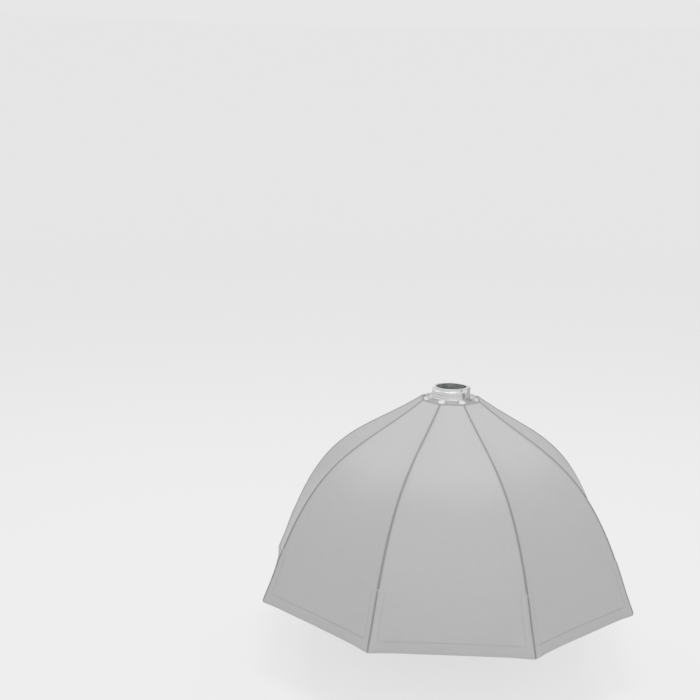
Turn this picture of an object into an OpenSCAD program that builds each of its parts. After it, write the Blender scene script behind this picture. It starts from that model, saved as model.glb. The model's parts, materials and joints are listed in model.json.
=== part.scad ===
// Eight-sided folding softbox: an aluminium ring, eight hinged arms with sprung rods, a runner
// with eight pairs of links that open and close them together, and a sewn canopy over the rods.
// It stands on its mouth: the mouth's plane is z = 0, the ring is on top, and its axis is +Z.
// A flat side faces -Y. Rib 1 is just right of it and the numbers run counter-clockwise.

/* [Canopy] */
// Width of the mouth from corner to opposite corner
across_corners = 914; // [900:2:930]
// Height from the mouth to the neck, where the fabric starts
canopy_depth = 459; // [450:1:470]
// Radius of the neck at a rib
neck_r = 70.6; // [70:0.2:74]
// How steeply the canopy leaves the neck, in degrees below level
neck_slope = 35.2; // [34:0.1:37]
// How far the neck's direction carries into the curve
neck_pull = 210.8; // [190:0.2:230]
// How steeply the canopy meets the mouth, in degrees below level
mouth_slope = 72.9; // [70:0.1:76]
// How far the mouth's direction carries into the curve
mouth_pull = 370; // [340:1:390]
// Thickness of a canopy panel with its lining
fabric_t = 1.2; // [0.8:0.1:1.4]
// Height of the bound hem around the mouth
hem_h = 24; // [18:1:32]
// Thickness of the hem
hem_t = 3; // [2:0.5:4]

/* [Diffusers] */
// Height of the front diffuser's cloth above the mouth
front_z = 6; // [5:0.5:8]
// Thickness of a diffuser cloth
cloth_t = 1.6; // [1:0.1:2]
// Height of the inner baffle above the mouth
baffle_z = 236; // [225:1:250]
// Corner radius of the inner baffle
baffle_r = 322; // [300:1:330]

/* [Ring] */
// Radius of the hole that the light insert turns in
ring_bore_r = 42.3; // [42.3:0.1:42.6]
// Outer radius of the ring's collar
collar_r = 45.6; // [45.6:0.1:46]
// Outer radius of the ring's flange
flange_r = 50; // [49.5:0.1:50.2]
// Height of the ring's collar above the flange
collar_h = 9; // [8:0.5:10]
// Radius of the hole through the light insert
insert_bore_r = 37; // [35:0.5:38]
// Running clearance between the insert and the ring, on the radius
insert_gap = 0.08; // [0.05:0.01:0.1]

/* [Frame] */
// Radius at which the arms hinge on the ring
hinge_r = 60; // [59.5:0.1:60.5]
// Radius of a hinge pin
hinge_pin_r = 2.5; // [2:0.1:2.6]
// Length of an arm from its hinge to the mouth of its socket
arm_len = 95; // [90:1:100]
// Width of an arm
arm_w = 8; // [7:0.5:8]
// Height of an arm
arm_h = 9; // [8:0.5:9]
// Distance from an arm's hinge to the rivet of its links, and the links' own length
link_len = 52; // [50:1:54]
// Radius of a rivet through the links
rivet_r = 2; // [1.8:0.1:2]
// Radius of a sprung rod
rod_r = 2; // [1.5:0.1:2]
// Depth of the rods below the canopy's corner line
rod_inset = 9; // [9:0.1:9.6]
// How far the ribs fold in, in degrees
fold_angle = 43; // [40:1:43]

/* [Hidden] */
SIDES = 8;
STEP_ANGLE = 360 / SIDES;
HALF = STEP_ANGLE / 2;
RUN = 0.06;                 // running clearance of a pin in its hole, on the radius
SLIP = 0.3;                 // side clearance between parts that swing past each other
FACETS = 48;

mouth_r = across_corners / 2;
neck_z = canopy_depth;
hinge_z = neck_z - 1.5;

// A direction in a rib's plane, as [outwards, up], from its angle below level
function down(angle) = [cos(angle), -sin(angle)];
function unit(v) = v / norm(v);
function bezier(a, b, c, d, t) =
    a * pow(1 - t, 3) + 3 * b * t * pow(1 - t, 2) + 3 * c * t * t * (1 - t) + d * pow(t, 3);

// The canopy's corner line, from the neck (t = 0) to the mouth (t = 1)
neck = [neck_r, neck_z];
mouth = [mouth_r, 0];
function canopy(t) =
    bezier(neck, neck + neck_pull * down(neck_slope), mouth - mouth_pull * down(mouth_slope), mouth, t);
// The same place on the line down the middle of a flat panel
function flat_line(t) = [canopy(t)[0] * cos(HALF), canopy(t)[1]];
function inward(t, depth) =
    let (d = unit(flat_line(t + 0.001) - flat_line(t - 0.001))) flat_line(t) + depth * [d[1], -d[0]];
// Where along the corner line a height lies
function at_height(z, low = 0, high = 1, tries = 24) =
    tries == 0 ? (low + high) / 2
    : let (mid = (low + high) / 2)
      canopy(mid)[1] > z ? at_height(z, mid, high, tries - 1) : at_height(z, low, mid, tries - 1);

hem_top = at_height(hem_h);
PANEL_STEPS = 14;

// The frame: an arm points from its hinge down to the foot of its rod
hinge = [hinge_r, hinge_z];
foot_mark = at_height(neck_z - 47.5);
mark_line = unit(canopy(foot_mark + 0.001) - canopy(foot_mark - 0.001));
arm_end_mark = canopy(foot_mark) + rod_inset * [mark_line[1], -mark_line[0]];
arm_slope = atan2(hinge_z - arm_end_mark[1], arm_end_mark[0] - hinge_r);
arm_end = hinge + arm_len * down(arm_slope);
socket_depth = 24;
rod_hole_r = rod_r + 0.1;

// The sprung rod's line, from the arm's end to its tip in the corner of the mouth
tip_rise = 20.5;
tip = canopy(at_height(tip_rise)) - rod_inset * [sin(mouth_slope), cos(mouth_slope)];
rod_pull = 150;
tip_pull = 305;
function rod_line(t) =
    bezier(arm_end, arm_end + rod_pull * down(arm_slope), tip - tip_pull * down(mouth_slope), tip, t);
function rod_radius(z, low = 0, high = 1, tries = 24) =
    tries == 0 ? rod_line(low)[0]
    : let (mid = (low + high) / 2)
      rod_line(mid)[1] > z ? rod_radius(z, mid, high, tries - 1) : rod_radius(z, low, mid, tries - 1);

// The runner and links: a link is as long as its rivet is far from the hinge, so the runner's
// pivots stay straight below the hinges, and a link leans back as much as its arm leans out
runner_z = hinge_z - 2 * link_len * sin(arm_slope);
runner_travel = 2 * link_len * (sin(arm_slope + fold_angle) - sin(arm_slope));
slot_drop = 6.4;            // the runner's slots take up the links' uneven travel

function node_names(stem) = [for (i = [1 : SIDES]) str(stem, "_", i)];

// Puts a shape drawn in the XZ plane, +X outwards, at a rib or at the middle of a panel
module at_rib(i) rotate([0, 0, (i - 1) * STEP_ANGLE + HALF - 90]) children();
module at_panel(i) rotate([0, 0, (i - 1) * STEP_ANGLE - 90]) children();
// Stands an outline up in the XZ plane, with a width across it
module upright(width) rotate([90, 0, 0]) linear_extrude(width, center = true) children();
module pin_across(r, width) rotate([90, 0, 0]) cylinder(h = width, r = r, center = true, $fn = FACETS);
module at_point(p) translate([p[0], 0, p[1]]) children();
module tube(r_out, r_in, z_low, z_high)
    translate([0, 0, z_low]) difference() {
        cylinder(h = z_high - z_low, r = r_out, $fn = 128);
        translate([0, 0, -1]) cylinder(h = z_high - z_low + 2, r = r_in, $fn = 128);
    }
module octagon(r, h) rotate([0, 0, HALF]) cylinder(h = h, r = r, $fn = SIDES);

// ---- Ring ----
flange_low = neck_z - 1;
flange_high = neck_z + 4;
collar_high = flange_high + collar_h;
skirt_low = neck_z - 8;
lever_side = 45;            // the lever's direction around the ring, from -Y towards +X
lever_w = 8;
window_w = lever_w + 2;
window_low = flange_high + 1;

module at_lever() rotate([0, 0, lever_side - 90]) children();
// The two screws of a bracket stand side by side on the flange
module at_screws() for (side = [-1, 1]) translate([48.1, side * 4.2, 0]) children();

module speed_ring() color("silver")
    difference() {
        union() {
            tube(flange_r, ring_bore_r, flange_low, flange_high);
            tube(collar_r, ring_bore_r, flange_high, collar_high);
            tube(44.8, ring_bore_r, skirt_low, flange_low);
        }
        at_lever() translate([ring_bore_r - 2, -window_w / 2, window_low])
            cube([6, window_w, collar_high - window_low + 1]);
        for (i = [1 : SIDES]) at_rib(i) at_screws()
            translate([0, 0, flange_low - 1]) cylinder(h = 8, r = 1.3, $fn = 24);
    }

// Holds the neck flap up against the flange
module retaining_ring() color("dimgray")
    tube(flange_r, 45.1, neck_z - 4.6, neck_z - 2.7);

// The light's bayonet insert: it turns in the ring, and its three tabs lock into a flash head.
// The release lever's nose runs in the groove round it
insert_r = ring_bore_r - insert_gap;
insert_low = skirt_low + 1;
groove_r = insert_r - 1.8;
groove_low = window_low + 1.4;
groove_high = window_low + 5.8;
bead_low = collar_high + 0.4;
bead_high = bead_low + 9;
bead_edge = 0.8;
spigot_r = 40.5;
tab_high = bead_high + 5.5;
tab_r = 44.4;
tab_t = 2.4;
tab_w = 22;
module insert_ring() color("silver") {
    rotate_extrude($fn = 128) polygon([
        [insert_bore_r, insert_low], [insert_r, insert_low],
        [insert_r, groove_low], [groove_r, groove_low], [groove_r, groove_high], [insert_r, groove_high],
        [insert_r, bead_low], [collar_r - bead_edge, bead_low], [collar_r, bead_low + bead_edge],
        [collar_r, bead_high - bead_edge], [collar_r - bead_edge, bead_high],
        [spigot_r, bead_high], [spigot_r, tab_high], [insert_bore_r, tab_high]]);
    for (i = [0 : 2]) rotate([0, 0, 120 * i + lever_side + 90]) intersection() {
        translate([0, 0, tab_high - tab_t]) cylinder(h = tab_t - 0.5, r = tab_r, $fn = 96);
        translate([spigot_r - 2, -tab_w / 2, tab_high - 2 * tab_t]) cube([20, tab_w, 3 * tab_t]);
    }
}

// ---- Hinges ----
ear_in = arm_w / 2 + SLIP;
ear_out = ear_in + 2.5;
bracket_back = flange_r + 0.3;
bracket_wall = 3.7;
tongue_low = flange_high + 0.05;
tongue_t = 2.2;
ear_r = 6;
module one_bracket() difference() {
    union() {
        translate([46, -ear_out, tongue_low]) cube([bracket_back + bracket_wall - 46, 2 * ear_out, tongue_t]);
        translate([bracket_back, -ear_out, hinge_z - ear_r])
            cube([bracket_wall, 2 * ear_out, tongue_low + tongue_t - hinge_z + ear_r]);
        for (side = [-1, 1]) translate([0, side * (ear_in + ear_out) / 2, 0]) {
            at_point(hinge) pin_across(ear_r, ear_out - ear_in);
            translate([bracket_back, (ear_in - ear_out) / 2, hinge_z - ear_r])
                cube([hinge_r - bracket_back, ear_out - ear_in, 2 * ear_r]);
        }
    }
    at_point(hinge) pin_across(hinge_pin_r, 40);
    at_screws() translate([0, 0, flange_high - 1]) cylinder(h = 8, r = 1.6, $fn = 24);
}
module hinge_brackets() color("silver") for (i = [1 : SIDES]) at_rib(i) one_bracket();

module bracket_screws() color("gray")
    for (i = [1 : SIDES]) at_rib(i) at_screws() difference() {
        union() {
            translate([0, 0, flange_low + 0.2]) cylinder(h = 8, r = 1.25, $fn = 24);
            translate([0, 0, flange_high + 2.3]) cylinder(h = 1.7, r = 2, $fn = 24);
        }
        translate([0, 0, flange_high + 3]) cylinder(h = 2, r = 0.9, $fn = 6);
    }

module hinge_pins() color("gainsboro")
    for (i = [1 : SIDES]) at_rib(i) at_point(hinge) {
        pin_across(hinge_pin_r, 2 * ear_out + 0.4);
        for (side = [-1, 1]) translate([0, side * (ear_out + 0.6), 0]) pin_across(3.6, 1);
    }

// ---- Release lever: its top is pressed towards the collar to draw its nose out of the insert ----
lever_pivot = [55, flange_high + 9];
lever_pin_r = 1.5;
cheek_t = 2;
module lever_mount() color("dimgray") at_lever() difference() {
    for (side = [-1, 1]) translate([0, side * (lever_w / 2 + SLIP + cheek_t / 2), 0]) union() {
        at_point(lever_pivot) pin_across(3, cheek_t);
        upright(cheek_t) polygon([[46.2, tongue_low], [flange_r + 1, tongue_low], lever_pivot + [2.6, -1.5],
                                  lever_pivot + [-2.4, 1.8], [46.2, tongue_low + 2.4]]);
    }
    at_point(lever_pivot) pin_across(lever_pin_r, 30);
}
module lever_pin() color("gainsboro")
    at_lever() at_point(lever_pivot) pin_across(lever_pin_r, lever_w + 2 * SLIP + 2 * cheek_t + 1);
module release_lever() color("#2b2b2b") at_lever() difference() {
    union() {
        at_point(lever_pivot) pin_across(3, lever_w);
        upright(lever_w) polygon([for (p = [[-2.2, -5], [2.2, -5], [2.6, 0], [1.8, 14], [4.2, 21],
                                            [1.4, 22.4], [-1.8, 15], [-2.6, 0]]) lever_pivot + p]);
        upright(lever_w) polygon([for (p = [[-13.2, -5], [1, -5], [1, -2], [-13.2, -3.2]]) lever_pivot + p]);
    }
    at_point(lever_pivot) pin_across(lever_pin_r + RUN, 30);
}

// ---- Ribs ----
module along_arm() at_point(hinge) rotate([0, arm_slope, 0]) children();
module arm(i) color("lightgray") at_rib(i) along_arm() difference() {
    union() {
        pin_across(arm_h / 2 + 0.3, arm_w);
        translate([0, -arm_w / 2, -arm_h / 2]) cube([arm_len - 20, arm_w, arm_h]);
        translate([arm_len - 24, 0, 0]) rotate([0, 90, 0]) cylinder(h = 24, r = arm_h / 2, $fn = FACETS);
    }
    pin_across(hinge_pin_r + RUN, 40);
    translate([link_len, 0, 0]) pin_across(rivet_r + RUN, 40);
    translate([arm_len - socket_depth, 0, 0]) rotate([0, 90, 0])
        cylinder(h = 40, r = rod_hole_r, $fn = 32);
}

// A rod is swept along its line: a ring of points at each step, and the first steps run
// straight down the arm's socket
ROD_STEPS = 22;
ROD_SIDES = 10;
rod_path = concat([arm_end - (socket_depth - 1) * down(arm_slope), arm_end - 2 * down(arm_slope)],
                  [for (s = [0 : ROD_STEPS]) rod_line(s / ROD_STEPS)]);
module rod(i) color("#303030") at_rib(i) {
    last = len(rod_path) - 1;
    rings = [for (k = [0 : last])
        let (d = unit(rod_path[min(k + 1, last)] - rod_path[max(k - 1, 0)]), n = [-d[1], d[0]])
        for (s = [0 : ROD_SIDES - 1]) let (a = 360 * s / ROD_SIDES)
            [rod_path[k][0] + n[0] * rod_r * cos(a), rod_r * sin(a), rod_path[k][1] + n[1] * rod_r * cos(a)]];
    walls = [for (k = [0 : last - 1]) for (s = [0 : ROD_SIDES - 1]) let (next = (s + 1) % ROD_SIDES)
        [k * ROD_SIDES + s, k * ROD_SIDES + next, (k + 1) * ROD_SIDES + next, (k + 1) * ROD_SIDES + s]];
    ends = [[for (s = [ROD_SIDES - 1 : -1 : 0]) s], [for (s = [0 : ROD_SIDES - 1]) last * ROD_SIDES + s]];
    polyhedron(points = rings, faces = concat(walls, ends));
}

// The moulded cap on a rod's end, which sits in the canopy's corner pocket
cap_r = 4;
cap_len = 20;
cap_floor = 3;
module rod_tip(i) color("#202020") at_rib(i) at_point(tip) rotate([0, mouth_slope - 90, 0])
    translate([0, 0, -cap_floor]) difference() {
        rotate_extrude($fn = FACETS) {
            polygon([[0, 0], [cap_r, 0], [cap_r, cap_len - 2], [3, cap_len], [0, cap_len]]);
            intersection() {
                circle(r = cap_r, $fn = FACETS);
                translate([0, -cap_r]) square([cap_r, cap_r]);
            }
        }
        translate([0, 0, cap_floor - 0.3]) cylinder(h = cap_len, r = rod_hole_r + 0.25, $fn = 32);
    }

// ---- Runner and links ----
link_side = arm_w / 2 + 0.2;
link_t = 2;
link_end_r = 4.2;
lug_w = arm_w - 0.2;
module runner_ring() color("silver") difference() {
    union() {
        tube(53, 46, runner_z - 5, runner_z + 4);
        for (i = [1 : SIDES]) at_rib(i) {
            translate([52, -lug_w / 2, runner_z - slot_drop - 4]) cube([8, lug_w, slot_drop + 8]);
            for (drop = [0, slot_drop]) at_point([hinge_r, runner_z - drop]) pin_across(4, lug_w);
            translate([hinge_r, -lug_w / 2, runner_z - slot_drop]) cube([4, lug_w, slot_drop]);
        }
    }
    for (i = [1 : SIDES]) at_rib(i) {
        for (drop = [0, slot_drop]) at_point([hinge_r, runner_z - drop]) pin_across(rivet_r + 0.1, 20);
        translate([hinge_r - rivet_r - 0.1, -10, runner_z - slot_drop])
            cube([2 * rivet_r + 0.2, 20, slot_drop]);
    }
}
// A pair of links and the two rivets that hold them, one through the arm and one in the runner
module links(i) color("gainsboro") at_rib(i) at_point(hinge + link_len * down(arm_slope))
    rotate([0, 180 - arm_slope, 0]) {
        for (side = [-1, 1]) translate([0, side * (link_side + link_t / 2), 0]) difference() {
            union() {
                pin_across(link_end_r, link_t);
                translate([link_len, 0, 0]) pin_across(link_end_r, link_t);
                translate([0, -link_t / 2, -3]) cube([link_len, link_t, 6]);
            }
            for (x = [0, link_len]) translate([x, 0, 0]) pin_across(rivet_r + 0.02, 10);
        }
        for (x = [0, link_len]) translate([x, 0, 0]) {
            pin_across(rivet_r, 2 * (link_side + link_t) + 1.4);
            for (side = [-1, 1]) translate([0, side * (link_side + link_t + 0.45), 0])
                pin_across(3.1, 0.8);
        }
    }

// ---- Soft goods ----
module wedge(gap) linear_extrude(2 * canopy_depth, center = true)
    polygon([[gap / sin(HALF), 0], [1000, 1000 * tan(HALF) - gap / cos(HALF)],
             [1000, gap / cos(HALF) - 1000 * tan(HALF)]]);
module panel(i) color("#b9bcc0") at_panel(i) intersection() {
    upright(400) polygon(concat(
        [for (s = [0 : PANEL_STEPS]) flat_line(hem_top * s / PANEL_STEPS)],
        [for (s = [PANEL_STEPS : -1 : 0]) inward(hem_top * s / PANEL_STEPS, fabric_t)]));
    wedge(0.05);
}

module neck_flap() color("#55585c") translate([0, 0, neck_z - 2.6]) difference() {
    octagon(70.2, 1.4);
    translate([0, 0, -1]) cylinder(h = 4, r = 45.2, $fn = 96);
    for (i = [1 : SIDES]) at_rib(i) translate([bracket_back - 0.2, -ear_out - 1.6, -1])
        cube([40, 2 * ear_out + 3.2, 4]);
    for (i = [1 : SIDES]) at_rib(i) at_screws() translate([0, 0, -1]) cylinder(h = 4, r = 1.6, $fn = 24);
}

hem_top_r = canopy(hem_top)[0];
module rim_hem() color("#a4a7ab") difference() {
    rotate([0, 0, HALF]) cylinder(h = hem_h - 0.5, r1 = mouth_r, r2 = hem_top_r, $fn = SIDES);
    translate([0, 0, -1]) rotate([0, 0, HALF])
        cylinder(h = hem_h + 0.5, r1 = mouth_r - hem_t / cos(HALF) + 0.3, r2 = hem_top_r - hem_t / cos(HALF),
                 $fn = SIDES);
}

module hook_tape() color("white")
    for (i = [1 : SIDES]) at_panel(i)
        translate([hem_top_r * cos(HALF) - hem_t - 1.6, -120, front_z + cloth_t + 0.4]) cube([0.9, 240, 14]);

front_r = hem_top_r - hem_t / cos(HALF) - 1;
module front_diffuser() color("white") translate([0, 0, front_z]) octagon(front_r, cloth_t);

module inner_baffle() color("white") translate([0, 0, baffle_z]) octagon(baffle_r, cloth_t);

// An elastic strap from each corner of the baffle to the rod beside it
strap_lap = 16;
strap_z = baffle_z + cloth_t + 0.1;
strap_end = rod_radius(strap_z) - rod_r - 1;
module baffle_straps() color("#303030")
    for (i = [1 : SIDES]) at_rib(i) translate([baffle_r - strap_lap, -6, strap_z])
        cube([strap_end - baffle_r + strap_lap, 12, 1]);

speed_ring();
retaining_ring();
insert_ring();
hinge_brackets();
bracket_screws();
hinge_pins();
release_lever();
lever_mount();
lever_pin();
runner_ring();
neck_flap();
for (i = [1 : SIDES]) {
    arm(i);
    rod(i);
    rod_tip(i);
    links(i);
    panel(i);
}
rim_hem();
hook_tape();
front_diffuser();
inner_baffle();
baffle_straps();
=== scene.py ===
import json
import math
from itertools import pairwise

import bmesh
import bpy
from mathutils import Matrix, Vector, noise


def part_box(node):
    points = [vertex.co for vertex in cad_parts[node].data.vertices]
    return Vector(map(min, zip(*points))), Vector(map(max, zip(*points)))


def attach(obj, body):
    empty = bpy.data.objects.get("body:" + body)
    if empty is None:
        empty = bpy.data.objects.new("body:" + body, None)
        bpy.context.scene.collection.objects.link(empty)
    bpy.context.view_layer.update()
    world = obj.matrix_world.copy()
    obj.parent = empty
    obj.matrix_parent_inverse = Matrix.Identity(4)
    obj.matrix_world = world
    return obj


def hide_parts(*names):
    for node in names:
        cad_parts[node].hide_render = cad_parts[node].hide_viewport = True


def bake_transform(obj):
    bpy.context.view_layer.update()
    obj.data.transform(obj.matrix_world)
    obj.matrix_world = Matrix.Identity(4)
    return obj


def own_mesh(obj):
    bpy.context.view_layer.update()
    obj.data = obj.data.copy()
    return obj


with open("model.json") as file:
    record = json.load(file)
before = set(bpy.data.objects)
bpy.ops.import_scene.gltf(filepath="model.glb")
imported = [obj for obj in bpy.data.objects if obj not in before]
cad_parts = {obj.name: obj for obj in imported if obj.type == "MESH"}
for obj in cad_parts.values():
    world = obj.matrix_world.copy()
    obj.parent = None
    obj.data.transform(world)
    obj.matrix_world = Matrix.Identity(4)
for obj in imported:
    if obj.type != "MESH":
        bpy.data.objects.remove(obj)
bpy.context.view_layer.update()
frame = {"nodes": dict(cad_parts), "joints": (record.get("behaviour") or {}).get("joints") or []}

nodes = frame["nodes"]

# ---- Speed ring ----
# The ring is turned from aluminium bar and clear anodised. Its fine turning lines run round it,
# and handling leaves soft smudges on the flange.


def shader_group(name, inputs, outputs):
    """A shader node group with its named sockets; returns it with its input and output nodes."""
    group = bpy.data.node_groups.new(name, "ShaderNodeTree")
    for socket, value in inputs:
        made = group.interface.new_socket(socket, in_out="INPUT", socket_type="NodeSocketFloat")
        made.default_value = value
    for socket in outputs:
        group.interface.new_socket(socket, in_out="OUTPUT", socket_type="NodeSocketFloat")
    return group, group.nodes.new("NodeGroupInput"), group.nodes.new("NodeGroupOutput")


def feed(tree, socket, value):
    """Links a node's output into a socket, or sets the socket's own value."""
    if isinstance(value, bpy.types.NodeSocket):
        tree.links.new(value, socket)
    else:
        socket.default_value = value


def maths(tree, operation, *values):
    node = tree.nodes.new("ShaderNodeMath")
    node.operation = operation
    for socket, value in zip(node.inputs, values):
        feed(tree, socket, value)
    return node.outputs[0]


def spread(tree, value, low, high):
    """Spreads a 0 to 1 value over low to high."""
    node = tree.nodes.new("ShaderNodeMapRange")
    for socket, given in zip(("Value", "To Min", "To Max"), (value, low, high)):
        feed(tree, node.inputs[socket], given)
    return node.outputs[0]


def speckle(tree, where, scale, detail=3.0):
    node = tree.nodes.new("ShaderNodeTexNoise")
    tree.links.new(where, node.inputs["Vector"])
    feed(tree, node.inputs["Scale"], scale)
    node.inputs["Detail"].default_value = detail
    return node.outputs[0]


# Lines left by turning or drawing: they follow circles round Z, closely spaced across
turned_lines, given, result = shader_group("turned_lines", [("Lines per metre", 900.0)], ["Lines"])
place = turned_lines.nodes.new("ShaderNodeTexCoord").outputs["Object"]
parts = turned_lines.nodes.new("ShaderNodeSeparateXYZ")
turned_lines.links.new(place, parts.inputs[0])
radius = maths(turned_lines, "SQRT", maths(
    turned_lines, "ADD", maths(turned_lines, "MULTIPLY", parts.outputs[0], parts.outputs[0]),
    maths(turned_lines, "MULTIPLY", parts.outputs[1], parts.outputs[1])))
ring_place = turned_lines.nodes.new("ShaderNodeCombineXYZ")
turned_lines.links.new(radius, ring_place.inputs[0])
turned_lines.links.new(parts.outputs[2], ring_place.inputs[2])
feed(turned_lines, result.inputs[0],
     speckle(turned_lines, ring_place.outputs[0], given.outputs[0], 2.0))

# Smudges and light handling marks
smudges, given, result = shader_group("smudges", [("Marks per metre", 30.0)], ["Marks"])
place = smudges.nodes.new("ShaderNodeTexCoord").outputs["Object"]
feed(smudges, result.inputs[0], speckle(smudges, place, given.outputs[0], 5.0))

# Fine grain of a cast, moulded or powder-coated surface
fine_grain, given, result = shader_group("fine_grain", [("Grains per metre", 2500.0)], ["Grain"])
place = fine_grain.nodes.new("ShaderNodeTexCoord").outputs["Object"]
feed(fine_grain, result.inputs[0], speckle(fine_grain, place, given.outputs[0], 2.0))


def use_group(tree, group, value, output=0):
    node = tree.nodes.new("ShaderNodeGroup")
    node.node_tree = group
    feed(tree, node.inputs[0], value)
    return node.outputs[output]


def mixed(tree, amount, dark, light):
    """A colour that goes from dark to light with amount."""
    node = tree.nodes.new("ShaderNodeMix")
    node.data_type = "RGBA"
    feed(tree, node.inputs["Factor"], amount)
    node.inputs[6].default_value = (*dark, 1.0)
    node.inputs[7].default_value = (*light, 1.0)
    return node.outputs[2]


def bump(tree, shader, height, distance):
    node = tree.nodes.new("ShaderNodeBump")
    feed(tree, node.inputs["Height"], height)
    node.inputs["Distance"].default_value = distance
    node.inputs["Strength"].default_value = 1.0
    tree.links.new(node.outputs[0], shader.inputs["Normal"])


def finish(name, **sockets):
    """A new material; the shader sockets named take constants."""
    material = bpy.data.materials.new(name)
    material.use_nodes = True
    tree = material.node_tree
    shader = tree.nodes["Principled BSDF"]
    for socket, value in sockets.items():
        shader.inputs[socket.replace("_", " ")].default_value = value
    return material, tree, shader


def metal_finish(name, dark, light, rough, pattern, per_metre, depth, **sockets):
    """Bare or plated metal: its tone follows handling smudges, its bump the machining pattern."""
    material, tree, shader = finish(name, Metallic=1.0, **sockets)
    marks = use_group(tree, smudges, 26.0)
    feed(tree, shader.inputs["Base Color"], mixed(tree, marks, dark, light))
    feed(tree, shader.inputs["Roughness"], spread(tree, marks, rough[0], rough[1]))
    bump(tree, shader, use_group(tree, pattern, per_metre), depth)
    return material


def give(material, *names):
    """Puts a material on CAD nodes."""
    for name in names:
        for slot in nodes[name].material_slots:
            slot.material = material


give(metal_finish("clear_anodised_ring", (0.76, 0.77, 0.78), (0.93, 0.93, 0.94), (0.16, 0.34),
                  turned_lines, 1400.0, 0.00004), "speed_ring")

# ---- Light insert ----
# The insert is turned from the same bar and polished where it runs in the ring. Three bayonet
# tabs at its top lock into a flash head.

give(metal_finish("polished_insert", (0.70, 0.71, 0.72), (0.90, 0.90, 0.91), (0.14, 0.28),
                  turned_lines, 2200.0, 0.00003), "insert_ring")

# ---- Retaining ring ----
# A flat steel ring under the flange clamps the neck cloth, painted satin grey.


def coated_finish(name, dark, light, rough, grains, depth, **sockets):
    """Paint, powder coat or moulded plastic: an even colour with a fine grain in it."""
    material, tree, shader = finish(name, **sockets)
    grain = use_group(tree, fine_grain, grains)
    marks = use_group(tree, smudges, 18.0)
    feed(tree, shader.inputs["Base Color"], mixed(tree, marks, dark, light))
    feed(tree, shader.inputs["Roughness"], spread(tree, marks, rough[0], rough[1]))
    bump(tree, shader, grain, depth)
    return material


give(coated_finish("satin_grey_paint", (0.20, 0.21, 0.22), (0.26, 0.27, 0.28), (0.38, 0.52),
                   1800.0, 0.00006), "retaining_ring")

# ---- Brackets, screws and pins ----
# Eight folded steel brackets are nickel plated and screwed to the flange in pairs of screws. A
# headed pin crosses each one and carries its arm.

give(metal_finish("nickel_plate", (0.72, 0.71, 0.69), (0.88, 0.87, 0.85), (0.15, 0.32),
                  fine_grain, 900.0, 0.00003), "hinge_brackets")
give(metal_finish("zinc_fastener", (0.55, 0.56, 0.58), (0.78, 0.79, 0.80), (0.22, 0.38),
                  fine_grain, 1600.0, 0.00003), "bracket_screws", "hinge_pins")

# ---- Release lever ----
# A moulded nylon lever stands in a painted steel cheek pair on the ring. Its nose holds the
# insert still until the top of the lever is pressed in.

give(coated_finish("moulded_nylon_lever", (0.115, 0.115, 0.117), (0.145, 0.145, 0.147), (0.40, 0.55),
                   2600.0, 0.00008), "release_lever")
give(coated_finish("lever_mount_paint", (0.15, 0.15, 0.152), (0.19, 0.19, 0.192), (0.34, 0.48),
                   1800.0, 0.00006), "lever_mount")
give(metal_finish("lever_pin_steel", (0.60, 0.60, 0.61), (0.80, 0.80, 0.81), (0.16, 0.28),
                  fine_grain, 1500.0, 0.00002), "lever_pin")

# ---- Runner, links and arms ----
# The runner is turned aluminium with eight slotted lugs. Steel links, riveted through, tie it
# to the drawn aluminium arms, so all eight arms open and close together.

SIDES = 8
every_rib = range(1, SIDES + 1)

give(metal_finish("runner_anodised", (0.66, 0.67, 0.68), (0.84, 0.84, 0.85), (0.22, 0.38),
                  turned_lines, 1200.0, 0.00004), "runner_ring")
give(metal_finish("drawn_aluminium", (0.68, 0.69, 0.70), (0.86, 0.86, 0.87), (0.24, 0.42),
                  fine_grain, 700.0, 0.00004), *[f"arm_{k}" for k in every_rib])
give(metal_finish("link_plate_steel", (0.58, 0.58, 0.59), (0.80, 0.80, 0.81), (0.20, 0.36),
                  fine_grain, 1100.0, 0.00003), *[f"links_{k}" for k in every_rib])

# ---- Rods and their caps ----
# Each rod is sprung glass fibre with a dark resin skin. A moulded cap on its end sits in the
# canopy's corner pocket.

give(coated_finish("glass_fibre_rod", (0.055, 0.055, 0.058), (0.085, 0.085, 0.09), (0.28, 0.42),
                   1500.0, 0.00005, Coat_Weight=0.3), *[f"rod_{k}" for k in every_rib])
give(coated_finish("moulded_rod_cap", (0.035, 0.035, 0.037), (0.055, 0.055, 0.058), (0.42, 0.58),
                   2600.0, 0.00008), *[f"rod_tip_{k}" for k in every_rib])

# ---- Canopy ----
# Eight panels of coated nylon with a silver lining are sewn edge to edge over the rods. The cloth
# is laid out here by the gore, from mid panel to mid panel over one rod, so that it folds with
# that rod, and it is parted along the rod into bands.

HALF_STEP = math.pi / SIDES
mouth_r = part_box("rim_hem")[1][1] / math.cos(HALF_STEP)
neck_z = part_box("neck_flap")[1][2] + 0.0012
neck_r = 0.0706
neck_slope, neck_pull = math.radians(35.2), 0.2108
mouth_slope, mouth_pull = math.radians(72.9), 0.370
hem_height = 0.024
cloth_thickness = 0.0009


def corner_line(t):
    """The line over a rod, from the neck at t = 0 to the mouth at t = 1, as (radius, height)."""
    ends = Vector((neck_r, neck_z)), Vector((mouth_r, 0.0))
    first = ends[0] + neck_pull * Vector((math.cos(neck_slope), -math.sin(neck_slope)))
    last = ends[1] - mouth_pull * Vector((math.cos(mouth_slope), -math.sin(mouth_slope)))
    s = 1.0 - t
    return ends[0] * s**3 + first * (3 * t * s * s) + last * (3 * t * t * s) + ends[1] * t**3


def line_length(start, end, steps=24):
    marks = [corner_line(start + (end - start) * k / steps) for k in range(steps + 1)]
    return sum((b - a).length for a, b in pairwise(marks))


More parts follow.
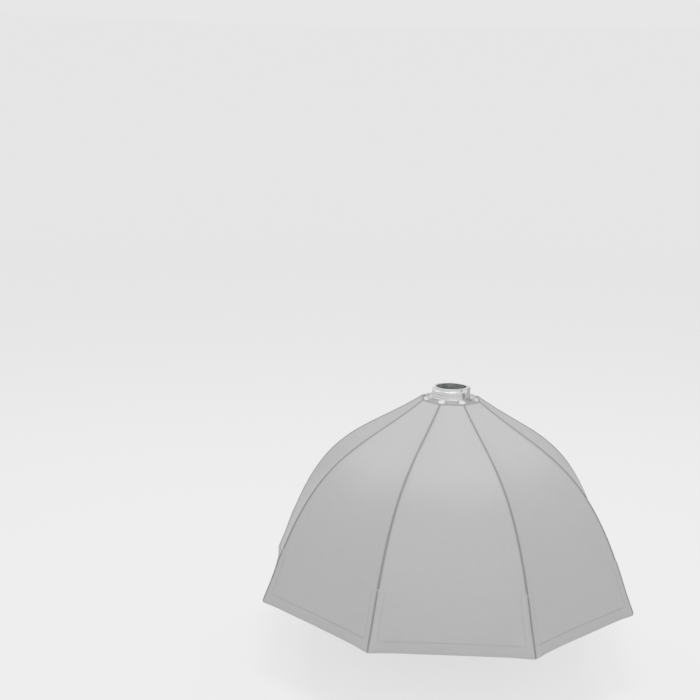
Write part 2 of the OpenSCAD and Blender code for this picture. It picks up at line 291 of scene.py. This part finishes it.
def at_height(z):
    """Where on the corner line a height lies."""
    low_t, high_t = 0.0, 1.0
    for _ in range(30):
        middle = (low_t + high_t) / 2
        if corner_line(middle)[1] > z:
            low_t = middle
        else:
            high_t = middle
    return (low_t + high_t) / 2


def half_width_at(t):
    return corner_line(t)[0] * math.sin(HALF_STEP)


def rib_angle(k):
    return (k - 1) * 2 * HALF_STEP + HALF_STEP - math.pi / 2


# The cloth's pull inwards at mid panel and what is added towards the mouth, then the heights of
# its broad waves, pleats beside the seams, folds at the foot and puckers at the stitches
middle_pull, foot_pull = 0.0075, 0.0022
wave_height, pleat_height, fold_height, pucker_height = 0.0011, 0.0011, 0.0016, 0.00028
pucker_pitch = 0.017


def slack(panel, across, t, to_seam, half_width):
    """How far the cloth stands in (-) or out (+) of its flat panel: the pull of the bowed rods
    draws its middle in, and the seams gather it in short puckers and long pleats."""
    down_line = t * 0.66
    middle = 1 - (across / half_width) ** 2 if half_width else 0
    bow = max(0.0, math.sin(math.pi * min(t * 1.02, 1))) ** 0.8
    pull = -(middle_pull * bow + foot_pull * t) * middle
    held = 1 - math.exp(-((to_seam / 0.006) ** 2))
    seed = panel * 7.31
    broad = noise.noise(Vector((across * 9, down_line * 6, seed)))
    pleats = noise.noise(Vector((across * 55, down_line * 5, seed + 20)))
    folds = noise.noise(Vector((across * 14 + down_line * 9, down_line * 22, seed + 40)))
    puckers = math.sin(down_line * 2 * math.pi / pucker_pitch + 4 * noise.noise(
        Vector((down_line * 12, seed, across * 3))))
    near = math.exp(-to_seam / 0.045)
    foot = max(0.0, (t - 0.72) / 0.28) ** 2
    waves = (wave_height * broad + pleat_height * pleats * near * min(1, t * 4)
             + fold_height * folds * foot
             + pucker_height * puckers * math.exp(-to_seam / 0.010))
    return pull + waves * held


def canopy_point(k, across, t, out=0.0):
    """A point on the gore over rod k. across is -1 and +1 at the middles of the two panels that
    meet there and 0 at their seam; out is how far it stands off the cloth."""
    radius, z = corner_line(t)
    ahead, behind = corner_line(min(t + 0.002, 1)), corner_line(max(t - 0.002, 0))
    run = Vector(((ahead - behind)[0] * math.cos(HALF_STEP), (ahead - behind)[1])).normalized()
    lift = Vector((-run[1], run[0]))
    side = 1 if across >= 0 else -1
    middle = radius * math.cos(HALF_STEP)
    half_width = middle * math.tan(HALF_STEP)
    to_seam = half_width * abs(across)
    along = -half_width * (1 - abs(across)) * side
    panel = (k if side > 0 else k - 1) % SIDES
    out_here = out + slack(panel, along, t, to_seam, half_width)
    flare = 0.004 * math.exp(-(((1 - t) / 0.035) ** 2)) * math.exp(-((to_seam / 0.03) ** 2))
    middle += out_here * lift[0] + flare
    along = -middle * math.tan(HALF_STEP) * (1 - abs(across)) * side
    facing = rib_angle(k) + side * HALF_STEP
    return Vector((middle * math.cos(facing) - along * math.sin(facing),
                   middle * math.sin(facing) + along * math.cos(facing),
                   z + out_here * lift[1]))


def sheet_of_cloth(name, columns, rows, place, cut, thickness=cloth_thickness):
    """A cloth with both its faces, laid out by place(u, v) with u and v from 0 to 1. Its UVs are
    metres of cut cloth, and its normals come from the laid-out surface, so pieces join smoothly."""
    mesh = bmesh.new()
    weave = mesh.loops.layers.uv.new("cut")
    facing = mesh.verts.layers.float_vector.new("facing")
    bmesh.ops.create_grid(mesh, x_segments=columns, y_segments=rows, size=0.5, calc_uvs=True)
    nudge, least_v = 0.002, 0.02
    spots = {}
    for vert in mesh.verts:
        u, v = vert.co.x + 0.5, vert.co.y + 0.5
        spots[vert] = (u, v)
    for face in mesh.faces:
        for loop in face.loops:
            u, v = spots[loop.vert]
            loop[weave].uv = cut(u, v)
    for vert, (u, v) in spots.items():
        vert.co = place(u, v)
        # A wedge has no width at its point, so the normal is taken a little way out
        off_pole = max(v, least_v)
        across = place(u + nudge, off_pole) - place(u - nudge, off_pole)
        along = place(u, v + nudge) - place(u, v - nudge)
        vert[facing] = across.cross(along).normalized()
    outer = mesh.faces[:]
    copied = bmesh.ops.duplicate(mesh, geom=mesh.verts[:] + mesh.edges[:] + outer)
    inner = [item for item in copied["geom"] if isinstance(item, bmesh.types.BMFace)]
    for vert in {v for face in inner for v in face.verts}:
        normal = vert[facing].copy()
        vert.co -= normal * thickness
        vert[facing] = -normal
    bmesh.ops.reverse_faces(mesh, faces=inner)
    for face in inner:
        face.material_index = 1
    bmesh.ops.bridge_loops(mesh, edges=[edge for edge in mesh.edges if edge.is_boundary])
    for face in mesh.faces:
        face.smooth = True
    bmesh.ops.dissolve_degenerate(mesh, dist=1e-7, edges=mesh.edges)
    data = bpy.data.meshes.new(name)
    mesh.to_mesh(data)
    mesh.free()
    normals = [tuple(item.vector) for item in data.attributes["facing"].data]
    data.normals_split_custom_set_from_vertices(normals)
    data.attributes.remove(data.attributes["facing"])
    piece = bpy.data.objects.new(name, data)
    bpy.context.scene.collection.objects.link(piece)
    return piece


# Plain weave on the cut's own UVs, with one thread over the next, and slubs in the yarn
plain_weave, given, result = shader_group(
    "plain_weave", [("Threads per metre", 1800.0)], ["Threads", "Slubs"])
place = plain_weave.nodes.new("ShaderNodeTexCoord").outputs["UV"]
parts = plain_weave.nodes.new("ShaderNodeSeparateXYZ")
plain_weave.links.new(place, parts.inputs[0])
rate = maths(plain_weave, "MULTIPLY", given.outputs[0], math.pi)
warp = maths(plain_weave, "SINE", maths(plain_weave, "MULTIPLY", parts.outputs[0], rate))
weft = maths(plain_weave, "SINE", maths(plain_weave, "MULTIPLY", parts.outputs[1], rate))
over = maths(plain_weave, "MULTIPLY_ADD", maths(plain_weave, "MULTIPLY", warp, weft), 0.5, 0.5)
feed(plain_weave, result.inputs["Threads"], over)
feed(plain_weave, result.inputs["Slubs"], speckle(plain_weave, place, 60.0, 6.0))


def cloth_finish(name, dark, light, rough, threads, depth, **sockets):
    """Woven cloth: threads in its bump and tone, slubs in its tone and roughness."""
    material, tree, shader = finish(name, **sockets)
    woven = tree.nodes.new("ShaderNodeGroup")
    woven.node_tree = plain_weave
    woven.inputs[0].default_value = threads
    tone = maths(tree, "MULTIPLY_ADD", woven.outputs["Threads"], 0.35,
                 maths(tree, "MULTIPLY", woven.outputs["Slubs"], 0.65))
    feed(tree, shader.inputs["Base Color"], mixed(tree, tone, dark, light))
    feed(tree, shader.inputs["Roughness"], spread(tree, woven.outputs["Slubs"], rough[0], rough[1]))
    bump(tree, shader, woven.outputs["Threads"], depth)
    return material


canopy_nylon = cloth_finish("canopy_nylon", (0.108, 0.108, 0.110), (0.134, 0.134, 0.136),
                            (0.27, 0.36), 1500.0, 0.00010, Specular_IOR_Level=0.45)
silver_lining = cloth_finish("silver_lining", (0.66, 0.67, 0.68), (0.80, 0.81, 0.82),
                             (0.26, 0.42), 900.0, 0.00015, Metallic=0.85)

fold_joint = next(joint for joint in frame["joints"] if joint["name"] == "rib_fold_1")
fold_angle = math.radians(fold_joint["range_deg"][1])
hinge_r = math.hypot(*fold_joint["pos_m"][:2])
hinge_z = fold_joint["pos_m"][2]


def shut_share(t):
    """How much of the gore's width is left beside its rod with the ribs folded in, so that its
    edges still meet the next gores'."""
    radius, z = corner_line(t)
    edge = Vector((radius * math.cos(HALF_STEP) ** 2 - hinge_r, z - hinge_z))
    folded_r = hinge_r + edge[0] * math.cos(fold_angle) + edge[1] * math.sin(fold_angle)
    return max(0.025, folded_r * math.tan(HALF_STEP) / half_width_at(t) + 0.008)


# Where along the rod the cloth is parted; the first band is put on no rib and stays where it is laid
BANDS = 17
neck_band_end, canopy_end = 0.06, at_height(0.003)
gore_marks = [0.0] + [neck_band_end + (canopy_end - neck_band_end) * band / BANDS
                      for band in range(BANDS + 1)]
GORE_COLUMNS = 64
ROW_LENGTH = 0.0052


def seam_share(u):
    """Spaces a gore's columns, closer beside its seam."""
    s = 2 * u - 1
    return math.copysign(abs(s) ** 1.3, s)


def ride_rib(piece, k, keep=None):
    """Rides on rib k; with keep, the piece also gets its own copy of its mesh."""
    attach(piece, f"rib_{k}")
    if keep:
        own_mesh(piece)


for k in every_rib:
    angle = rib_angle(k)
    outwards = Vector((math.cos(angle), math.sin(angle), 0))
    for band, (start, end) in enumerate(pairwise(gore_marks)):
        length = line_length(start, end)
        before = line_length(0, start) if start else 0.0

        def place(u, v):
            return canopy_point(k, seam_share(u), start + (end - start) * (1 - v))

        def cut(u, v):
            t = start + (end - start) * (1 - v)
            return (half_width_at(t) * seam_share(u), -(before + length * (1 - v)))

        piece = sheet_of_cloth(f"canopy_gore_{k}_{band + 1}", GORE_COLUMNS,
                               round(length / ROW_LENGTH), place, cut)
        piece.data.materials.append(canopy_nylon)
        piece.data.materials.append(silver_lining)
        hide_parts(f"panel_{k}")
        widths = [2 * half_width_at(start), 2 * half_width_at(end)]
        if band == 0:
            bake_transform(piece)
        else:
            ride_rib(piece, k, shut_share(start))

# ---- Neck cloth ----
# Eight tongues of the same nylon run from the clamp under the flange out between the brackets,
# and lap under the canopy's top edge. A folded tape binds that edge.

neck_material = cloth_finish("neck_nylon", (0.100, 0.100, 0.102), (0.124, 0.124, 0.126),
                             (0.36, 0.48), 1500.0, 0.00012)
# This tape is darker than the canopy nylon. Along the seams its dark tone is partly painted shade:
# it stands for the shade in the seam valleys as well as for the tape's own colour.
dark_tape_and_seam_shade = cloth_finish("binding_tape_and_seam_shade", (0.040, 0.040, 0.042), (0.058, 0.058, 0.060),
                             (0.50, 0.64), 700.0, 0.0002)
clamp_r, slot_r = 0.0453, 0.0486
bracket_room = 0.0091
tongue_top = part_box("neck_flap")[1][2] - 0.0001
lap_r = 0.0700
# Beyond the bend the tongue slopes down with the panels; slot_run is how fast it narrows between
# the brackets
bend_r, lap_slope = 0.0645, 0.7635
slot_run, tongue_ripple = 0.0016, 0.0002
neck_tape_width = 0.054


def smooth_step(x):
    x = max(0.0, min(1.0, x))
    return x * x * (3 - 2 * x)


def on_panel(p, m, w, z):
    """A point given by a panel: m out from the axis, w along the panel, and its height."""
    facing = (p - 1) * 2 * HALF_STEP - math.pi / 2
    return Vector((m * math.cos(facing) - w * math.sin(facing),
                   m * math.sin(facing) + w * math.cos(facing), z))


def dress(piece, cloth):
    """Gives both faces of a piece the same cloth."""
    piece.data.materials.append(cloth)
    piece.data.materials.append(cloth)


for p in every_rib:

    def place(u, v):
        m = lap_r + (clamp_r - lap_r) * v
        reach = m * math.tan(HALF_STEP) - bracket_room * smooth_step((m - slot_r) / slot_run)
        bulge = (clamp_r * (1 - math.cos((2 * u - 1) * HALF_STEP))) * smooth_step(2 * v - 1)
        ripple = tongue_ripple * noise.noise(Vector((m * 150, u * 3, p)))
        drop = lap_slope * max(0.0, m - bend_r) + ripple
        return on_panel(p, m - bulge, reach * (2 * u - 1), tongue_top - drop)

    piece = sheet_of_cloth(f"neck_tongue_{p}", 18, 22, place,
                           lambda u, v: (0.03 * u, 0.025 * v), 0.0012)
    dress(piece, neck_material)
    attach(piece, "ring_frame")
    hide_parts("neck_flap")


def wrapped(v, lap, half):
    """A tape folded over an edge: how far inside the edge it is, and how far it stands off."""
    path = v * (2 * lap + math.pi * half)
    if path < lap:
        return lap - path, half
    if path < lap + math.pi * half:
        turn = (path - lap) / half
        return -half * math.sin(turn), half * math.cos(turn)
    return path - lap - math.pi * half, -half


neck_speed = 3 * neck_pull
neck_lap, neck_fold = 0.0048, 0.0011
for k in every_rib:

    def place(u, v):
        inset, stand = wrapped(v, neck_lap, neck_fold)
        return canopy_point(k, 2 * u - 1, inset / neck_speed, stand - 0.0004)

    piece = sheet_of_cloth(f"neck_binding_{k}", 20, 14, place,
                           lambda u, v: (neck_tape_width * u, 0.013 * v), 0.0005)
    dress(piece, dark_tape_and_seam_shade)
    outwards = Vector((math.cos(rib_angle(k)), math.sin(rib_angle(k)), 0))
    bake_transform(piece)

# ---- Seams ----
# The panels are sewn edge to edge over each rod, covered by a tape with a cord in it and
# topstitched down both sides. It rides on its rod and doesn't gather.

seam_reach = 0.0032
seam_end = at_height(0.004)
pocket_length = 0.125
pocket_reach = 0.018
mouth_speed = 3 * mouth_pull * 0.98


# How far the tape lies off the cloth, what a corner pocket adds, the cord in its middle, and
# where the topstitching runs beside it
tape_stand, pocket_stand, cord_height, cord_half = 0.0004, 0.0009, 0.0012, 0.0011
stitch_reach = 0.0048


def from_mouth(inset):
    """Where on the corner line a distance up from the mouth lies."""
    return 1 - inset / mouth_speed


pocket_start = from_mouth(pocket_length + hem_height)


def over_pocket(t):
    """What the seam rises by where it runs over a corner pocket."""
    return pocket_stand * smooth_step((t - pocket_start) / 0.01)


def share_across(t, distance):
    return distance / half_width_at(t)


def sew(mesh, path, start, end, pitch=0.0042, length=0.0030, thread=0.00028):
    """Adds a row of stitches along path(s), with s in metres from start to end."""
    for step in range(int((end - start) / pitch)):
        s = start + (step + 0.5) * pitch
        here, there = path(s - length / 2), path(s + length / 2)
        run = there - here
        aim = run.to_track_quat("X", "Z").to_matrix().to_4x4()
        size = Matrix.Diagonal((run.length / 2, thread, thread, 1))
        bmesh.ops.create_icosphere(mesh, subdivisions=1, radius=1.0,
                                   matrix=Matrix.Translation((here + there) / 2) @ aim @ size)


def sewn_piece(name, fill):
    """One piece holding rows of stitches; fill(mesh) sews them."""
    mesh = bmesh.new()
    fill(mesh)
    for face in mesh.faces:
        face.smooth = True
    data = bpy.data.meshes.new(name)
    mesh.to_mesh(data)
    mesh.free()
    piece = bpy.data.objects.new(name, data)
    bpy.context.scene.collection.objects.link(piece)
    data.materials.append(thread_material)
    return piece


thread_material = coated_finish("bonded_thread", (0.05, 0.05, 0.052), (0.07, 0.07, 0.072),
                                (0.35, 0.5), 4000.0, 0.00003)
seam_length = line_length(0, seam_end)
for k in every_rib:

    def place(u, v):
        t = seam_end * (1 - v)
        w = seam_reach * (2 * u - 1)
        stand = tape_stand + over_pocket(t) + cord_height * math.exp(-((w / cord_half) ** 2))
        stand *= 1 - 0.6 * abs(2 * u - 1) ** 6
        return canopy_point(k, share_across(t, w), t, stand)

    piece = sheet_of_cloth(f"seam_{k}", 14, 110, place,
                           lambda u, v: (2 * seam_reach * u, seam_length * v), 0.0004)
    # The seam tape's dark tone is partly painted shade along each seam valley.
    dress(piece, dark_tape_and_seam_shade)
    ride_rib(piece, k)

    def topstitch(mesh):
        for side in (-1, 1):

            def path(s):
                t = s / seam_length * seam_end
                return canopy_point(k, share_across(t, side * stitch_reach), t,
                                    0.0001 + over_pocket(t))

            sew(mesh, path, 0.004, seam_length - 0.004)

    ride_rib(sewn_piece(f"seam_stitches_{k}", topstitch), k)

# ---- Corner pockets ----
# A doubled patch over each corner takes the thrust of the rod's cap. It is sewn down round its
# edge and its top is round.

pocket_foot, pocket_crown = 0.004, 0.016
patch_stand, patch_rest = 0.0008, 0.0002
patch_row, patch_row_stand = 0.0028, 0.00115
for k in every_rib:

    def outline(v):
        """Half the patch's width, at v from the mouth to its round top."""
        from_top = (1 - v) * pocket_length
        crown = min(1.0, from_top / pocket_crown)
        return pocket_reach * math.sqrt(max(0.0, 1 - (1 - crown) ** 2))

    def place(u, v):
        inset = pocket_foot + v * (pocket_length + hem_height - pocket_foot)
        t = from_mouth(inset)
        s = 2 * u - 1
        reach = max(0.0004, outline((inset - hem_height) / pocket_length))
        stand = patch_stand * (1 - abs(s) ** 14) + patch_rest
        return canopy_point(k, share_across(t, s * reach), t, stand)

    piece = sheet_of_cloth(f"corner_pocket_{k}", 24, 40, place,
                           lambda u, v: (2 * pocket_reach * u, (pocket_length + hem_height) * v))
    dress(piece, canopy_nylon)
    ride_rib(piece, k)

    def round_patch(mesh):
        for side in (-1, 1):

            def path(s):
                inset = hem_height + s
                t = from_mouth(inset)
                reach = max(0.0006, outline(s / pocket_length) - patch_row)
                return canopy_point(k, share_across(t, side * reach), t, patch_row_stand)

            sew(mesh, path, 0.002, pocket_length - 0.003, pitch=0.0039)

    ride_rib(sewn_piece(f"pocket_stitches_{k}", round_patch), k)

# ---- Hem ----
# The mouth is bound with a wide tape folded over its edge, outside and in, with two rows of
# stitches. It rides on the rod at its middle.

hem_lap, hem_fold = hem_height, 0.0014
hem_shut = 0.010
hem_cut = 0.0525
edge_row, top_row = 0.0035, hem_lap - 0.0015
hem_width = 2 * mouth_r * math.sin(HALF_STEP)
hem_tape = cloth_finish("hem_tape", (0.104, 0.104, 0.106), (0.130, 0.130, 0.132),
                        (0.34, 0.46), 900.0, 0.00016, Specular_IOR_Level=0.45)
for k in every_rib:

    def place(u, v):
        inset, stand = wrapped(1 - v, hem_lap, hem_fold)
        return canopy_point(k, seam_share(u), from_mouth(inset + hem_fold), stand - 0.0007)

    piece = sheet_of_cloth(f"rim_hem_{k}", GORE_COLUMNS, 26, place,
                           lambda u, v: (hem_width * seam_share(u) / 2, hem_cut * v), 0.0006)
    dress(piece, hem_tape)
    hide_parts("rim_hem")
    ride_rib(piece, k, hem_shut)

    def hem_rows(mesh):
        for inset in (edge_row, top_row):

            def path(s):
                t = from_mouth(inset + hem_fold)
                return canopy_point(k, share_across(t, s), t, hem_fold - 0.0006)

            sew(mesh, path, -hem_width / 2 + 0.002, hem_width / 2 - 0.002)

    ride_rib(sewn_piece(f"hem_stitches_{k}", hem_rows), k, hem_shut)

# ---- Hook tape ----
# Nylon hook tape is sewn inside the hem along every side, where the front diffuser presses on.

hook_finish, tree, shader = finish("hook_tape", Sheen_Weight=0.3)
hooks = use_group(tree, fine_grain, 900.0)
feed(tree, shader.inputs["Base Color"], mixed(tree, hooks, (0.62, 0.62, 0.61), (0.82, 0.82, 0.81)))
feed(tree, shader.inputs["Roughness"], spread(tree, hooks, 0.55, 0.75))
bump(tree, shader, hooks, 0.0004)
hook_low, hook_high = (corner[2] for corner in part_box("hook_tape"))
hook_reach, hook_clear = 0.120, 0.0009
hem_depth = 0.0031


def hem_wall(z, clear):
    """How far out the hem's inner wall is at a height, less a clearance."""
    return corner_line(at_height(z))[0] * math.cos(HALF_STEP) - hem_depth - clear


for k in every_rib:
    for side, end in ((0, "left"), (1, "right")):
        p = k + side

        def place(u, v):
            w = hook_reach * (u - 1 + side) if side else hook_reach * u
            z = hook_high + (hook_low - hook_high) * v
            return on_panel(p, hem_wall(z, hook_clear), w, z)

        piece = sheet_of_cloth(f"hook_tape_{k}_{end}", 24, 4, place,
                               lambda u, v: (hook_reach * u, 0.014 * v), 0.0008)
        dress(piece, hook_finish)
        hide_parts("hook_tape")
        ride_rib(piece, k, hem_shut)

# ---- Inner baffle ----
# A white nylon baffle hangs across the middle of the box and evens out the light. It is laid out
# in wedges, which ride on the ring frame.


def diffuser_finish(name, dark, light, threads):
    return cloth_finish(name, dark, light, (0.62, 0.78), threads, 0.00014, Sheen_Weight=0.3)


baffle_material = diffuser_finish("baffle_nylon", (0.80, 0.80, 0.79), (0.90, 0.90, 0.89), 1200.0)
baffle_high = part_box("inner_baffle")[1]
tape_lip = 0.0004
baffle_m = baffle_high[1] - tape_lip
baffle_hang, baffle_rise, baffle_ripple = 0.006, 0.0055, 0.0006
binding_lap, binding_fold, binding_width = 0.009, 0.0009, 0.0208


def gather_to_axis(piece, direction):
    """The wedge rides on the ring frame with its own copy of its mesh."""
    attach(piece, "ring_frame")
    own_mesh(piece)


def wedge_angles(index, count):
    """The panel a wedge lies on and its two angles either side of that panel's middle."""
    per_panel = count // SIDES
    width = 2 * HALF_STEP / per_panel
    first = -HALF_STEP + (index % per_panel) * width
    return index // per_panel + 1, first, first + width


def wedge_direction(p, first, last):
    return (p - 1) * 2 * HALF_STEP - math.pi / 2 + (first + last) / 2


BAFFLE_WEDGES = 16
for index in range(BAFFLE_WEDGES):
    p, first, last = wedge_angles(index, BAFFLE_WEDGES)

    def place(u, v):
        slope = math.tan(first + (last - first) * u)
        m = baffle_m * v
        ripple = baffle_ripple * noise.noise(on_panel(p, m, m * slope, 0) * 14) * (1 - v)
        rise = baffle_rise * v * v + ripple
        return on_panel(p, m, m * slope, baffle_high[2] - baffle_hang + rise)

    width = baffle_m * (math.tan(last) - math.tan(first))
    piece = sheet_of_cloth(f"inner_baffle_{index + 1}", 12, 40, place,
                           lambda u, v: (width * (u - 0.5) * v, baffle_m * v), 0.0008)
    dress(piece, baffle_material)
    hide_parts("inner_baffle")
    gather_to_axis(piece, wedge_direction(p, first, last))

    def place_tape(u, v):
        slope = math.tan(first + (last - first) * u)
        inset, stand = wrapped(1 - v, binding_lap, binding_fold)
        m = baffle_m + tape_lip - inset
        return on_panel(p, m, m * slope, baffle_high[2] - 0.0010 - stand)

    piece = sheet_of_cloth(f"baffle_binding_{index + 1}", 12, 14, place_tape,
                           lambda u, v: (width * u, 0.021 * v), 0.0004)
    dress(piece, baffle_material)
    gather_to_axis(piece, wedge_direction(p, first, last))

# ---- Baffle straps ----
# A short elastic strap from each corner of the baffle loops round the rod beside it.

elastic = cloth_finish("braided_elastic", (0.040, 0.040, 0.042), (0.075, 0.075, 0.078),
                       (0.55, 0.70), 1100.0, 0.0003, Sheen_Weight=0.25)
strap_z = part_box("baffle_straps")[1][2]
strap_start = 0.306
strap_end = (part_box("baffle_straps")[1][0] - 0.006 * math.sin(HALF_STEP)) / math.cos(HALF_STEP)
strap_rod = strap_end + 0.0030
loop_r = 0.0031
loop_turn = 1.85 * math.pi
strap_width, strap_cut = 0.012, 0.054
for k in every_rib:
    outwards = Vector((math.cos(rib_angle(k)), math.sin(rib_angle(k)), 0))
    sideways = Vector((-outwards[1], outwards[0], 0))
    straight = strap_rod - loop_r - strap_start

    def place(u, v):
        path = (1 - v) * (straight + loop_turn * loop_r)
        bow = strap_z + 0.0006 * math.sin(path * 60)
        if path < straight:
            r, z = strap_start + path, bow
        else:
            turn = (path - straight) / loop_r
            r = strap_rod - loop_r * math.cos(turn)
            z = strap_z + loop_r * math.sin(turn)
        return outwards * r + sideways * (strap_width * (u - 0.5)) + Vector((0, 0, z))

    piece = sheet_of_cloth(f"baffle_strap_{k}", 10, 44, place,
                           lambda u, v: (strap_width * u, strap_cut * v), 0.0007)
    dress(piece, elastic)
    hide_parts("baffle_straps")
    ride_rib(piece, k)

# ---- Front diffuser ----
# The white front cloth is set back inside the hem. Its turned-up border presses on the hook
# tape, and like the baffle it rides on the ring frame.

front_material = diffuser_finish("front_nylon", (0.84, 0.84, 0.83), (0.93, 0.93, 0.92), 1000.0)
front_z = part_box("front_diffuser")[0][2]
border_clear = 0.0016
front_m = hem_wall(front_z, border_clear)
border = 0.0125
flat_share = 0.95
front_sag = 0.0028
FRONT_WEDGES = 32
for index in range(FRONT_WEDGES):
    p, first, last = wedge_angles(index, FRONT_WEDGES)

    def place(u, v):
        slope = math.tan(first + (last - first) * u)
        m = front_m * min(1.0, v / flat_share)
        f = m / front_m
        spot = on_panel(p, m, m * slope, 0)
        tight = abs(slope) / math.tan(HALF_STEP)
        ripple = 0.0010 * noise.noise(Vector((slope * 22, f * 2.2, p * 3.1))) * f**3 * tight**2
        z = front_z + 0.0004 - front_sag * (1 - f * f) + ripple * (1 - f)
        z += 0.0005 * noise.noise(spot * 8)
        turned = max(0.0, v - flat_share) / (1 - flat_share)
        if turned:
            m = hem_wall(front_z + border * turned, border_clear)
        return on_panel(p, m, m * slope, z + border * turned)

    width = front_m * (math.tan(last) - math.tan(first))
    piece = sheet_of_cloth(f"front_diffuser_{index + 1}", 10, 60, place,
                           lambda u, v: (width * (u - 0.5) * v, front_m * v), 0.0008)
    dress(piece, front_material)
    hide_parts("front_diffuser")
    gather_to_axis(piece, wedge_direction(p, first, last))

# ---- Room ----
# A pale floor that sweeps up at its edge stands under soft, even studio light. What the cloth and
# metal mirror of it is dimmer, which keeps their edges dark against it. The camera comes last.

floor_z, flat_r, sweep_r = -0.17, 9.0, 3.0
sweep_steps, sweep_angle = 12, math.radians(80)
floor_mesh = bmesh.new()
sweep = [Vector((0, 0, floor_z))]
for step in range(sweep_steps + 1):
    turn = step / sweep_steps * sweep_angle
    sweep.append(Vector((flat_r + sweep_r * math.sin(turn), 0,
                         floor_z + sweep_r * (1 - math.cos(turn)))))
marks = [floor_mesh.verts.new(point) for point in sweep]
rim = [floor_mesh.edges.new(pair) for pair in pairwise(marks)]
bmesh.ops.spin(floor_mesh, geom=marks + rim, cent=(0, 0, 0), axis=(0, 0, 1), dvec=(0, 0, 0),
               angle=2 * math.pi, steps=96, use_merge=True)
bmesh.ops.remove_doubles(floor_mesh, verts=floor_mesh.verts, dist=0.0001)
bmesh.ops.recalc_face_normals(floor_mesh, faces=floor_mesh.faces)
for face in floor_mesh.faces:
    face.smooth = True
floor_data = bpy.data.meshes.new("floor")
floor_mesh.to_mesh(floor_data)
floor_mesh.free()
floor = bpy.data.objects.new("floor", floor_data)
bpy.context.scene.collection.objects.link(floor)


def seen_in_gloss(tree, plain, dimmed):
    """Glossy cloth and metal mirror the dimmed shader; everything else is lit by the plain one."""
    path = tree.nodes.new("ShaderNodeLightPath")
    mix = tree.nodes.new("ShaderNodeMixShader")
    tree.links.new(path.outputs["Is Glossy Ray"], mix.inputs[0])
    tree.links.new(plain.outputs[0], mix.inputs[1])
    tree.links.new(dimmed.outputs[0], mix.inputs[2])
    return mix.outputs[0]


floor_material, floor_tree, floor_shader = finish(
    "pale_floor", Base_Color=(0.95, 0.95, 0.95, 1), Roughness=0.9)
floor_dimmed = floor_tree.nodes.new("ShaderNodeBsdfPrincipled")
floor_dimmed.inputs["Base Color"].default_value = (0.28, 0.28, 0.28, 1)
floor_dimmed.inputs["Roughness"].default_value = 0.9
floor_tree.links.new(seen_in_gloss(floor_tree, floor_shader, floor_dimmed),
                     floor_tree.nodes["Material Output"].inputs["Surface"])
floor_data.materials.append(floor_material)

world = bpy.data.worlds.new("studio")
bpy.context.scene.world = world
world.use_nodes = True
white_room = world.node_tree.nodes["Background"]
white_room.inputs[0].default_value = (1, 1, 1, 1)
white_room.inputs[1].default_value = 3.6
dim_room = world.node_tree.nodes.new("ShaderNodeBackground")
dim_room.inputs[0].default_value = (1, 1, 1, 1)
dim_room.inputs[1].default_value = 2.2
world.node_tree.links.new(seen_in_gloss(world.node_tree, white_room, dim_room),
                          world.node_tree.nodes["World Output"].inputs["Surface"])


def softbox(name, place, aim, size, power):
    """A rectangular soft light at place, turned to face aim."""
    lamp = bpy.data.lights.new(name, "AREA")
    lamp.shape = "RECTANGLE"
    lamp.size, lamp.size_y = size
    lamp.energy = power
    holder = bpy.data.objects.new(name, lamp)
    holder.location = place
    holder.rotation_euler = (Vector(aim) - Vector(place)).to_track_quat("-Z", "Y").to_euler()
    bpy.context.scene.collection.objects.link(holder)


softbox("overhead", (-0.05, -0.25, 2.7), (-0.05, -0.25, 0.0), (1.4, 1.1), 105)
softbox("front", (0.5, -3.3, 2.3), (0, 0, 0.25), (2.6, 1.6), 85)
softbox("right_high", (1.7, 1.5, 3.0), (0, 0, 0.35), (1.2, 1.0), 80)
softbox("left_high", (-1.8, 1.4, 2.9), (0, 0, 0.35), (1.2, 1.0), 80)

camera = bpy.data.objects.new("camera", bpy.data.cameras.new("camera"))
camera.data.lens = 60.34
camera_place = (-0.1333, -2.7310, 1.0802)
yaw, pitch, roll = 0.0399, -0.1854, -0.0202
turn = Matrix.Rotation(yaw, 3, "Z") @ Matrix.Rotation(pitch, 3, "X") @ Matrix.Rotation(roll, 3, "Y")
look = Matrix((turn.col[0], turn.col[2], -turn.col[1])).transposed()
camera.matrix_world = Matrix.Translation(camera_place) @ look.to_4x4()
bpy.context.scene.collection.objects.link(camera)
bpy.context.scene.camera = camera
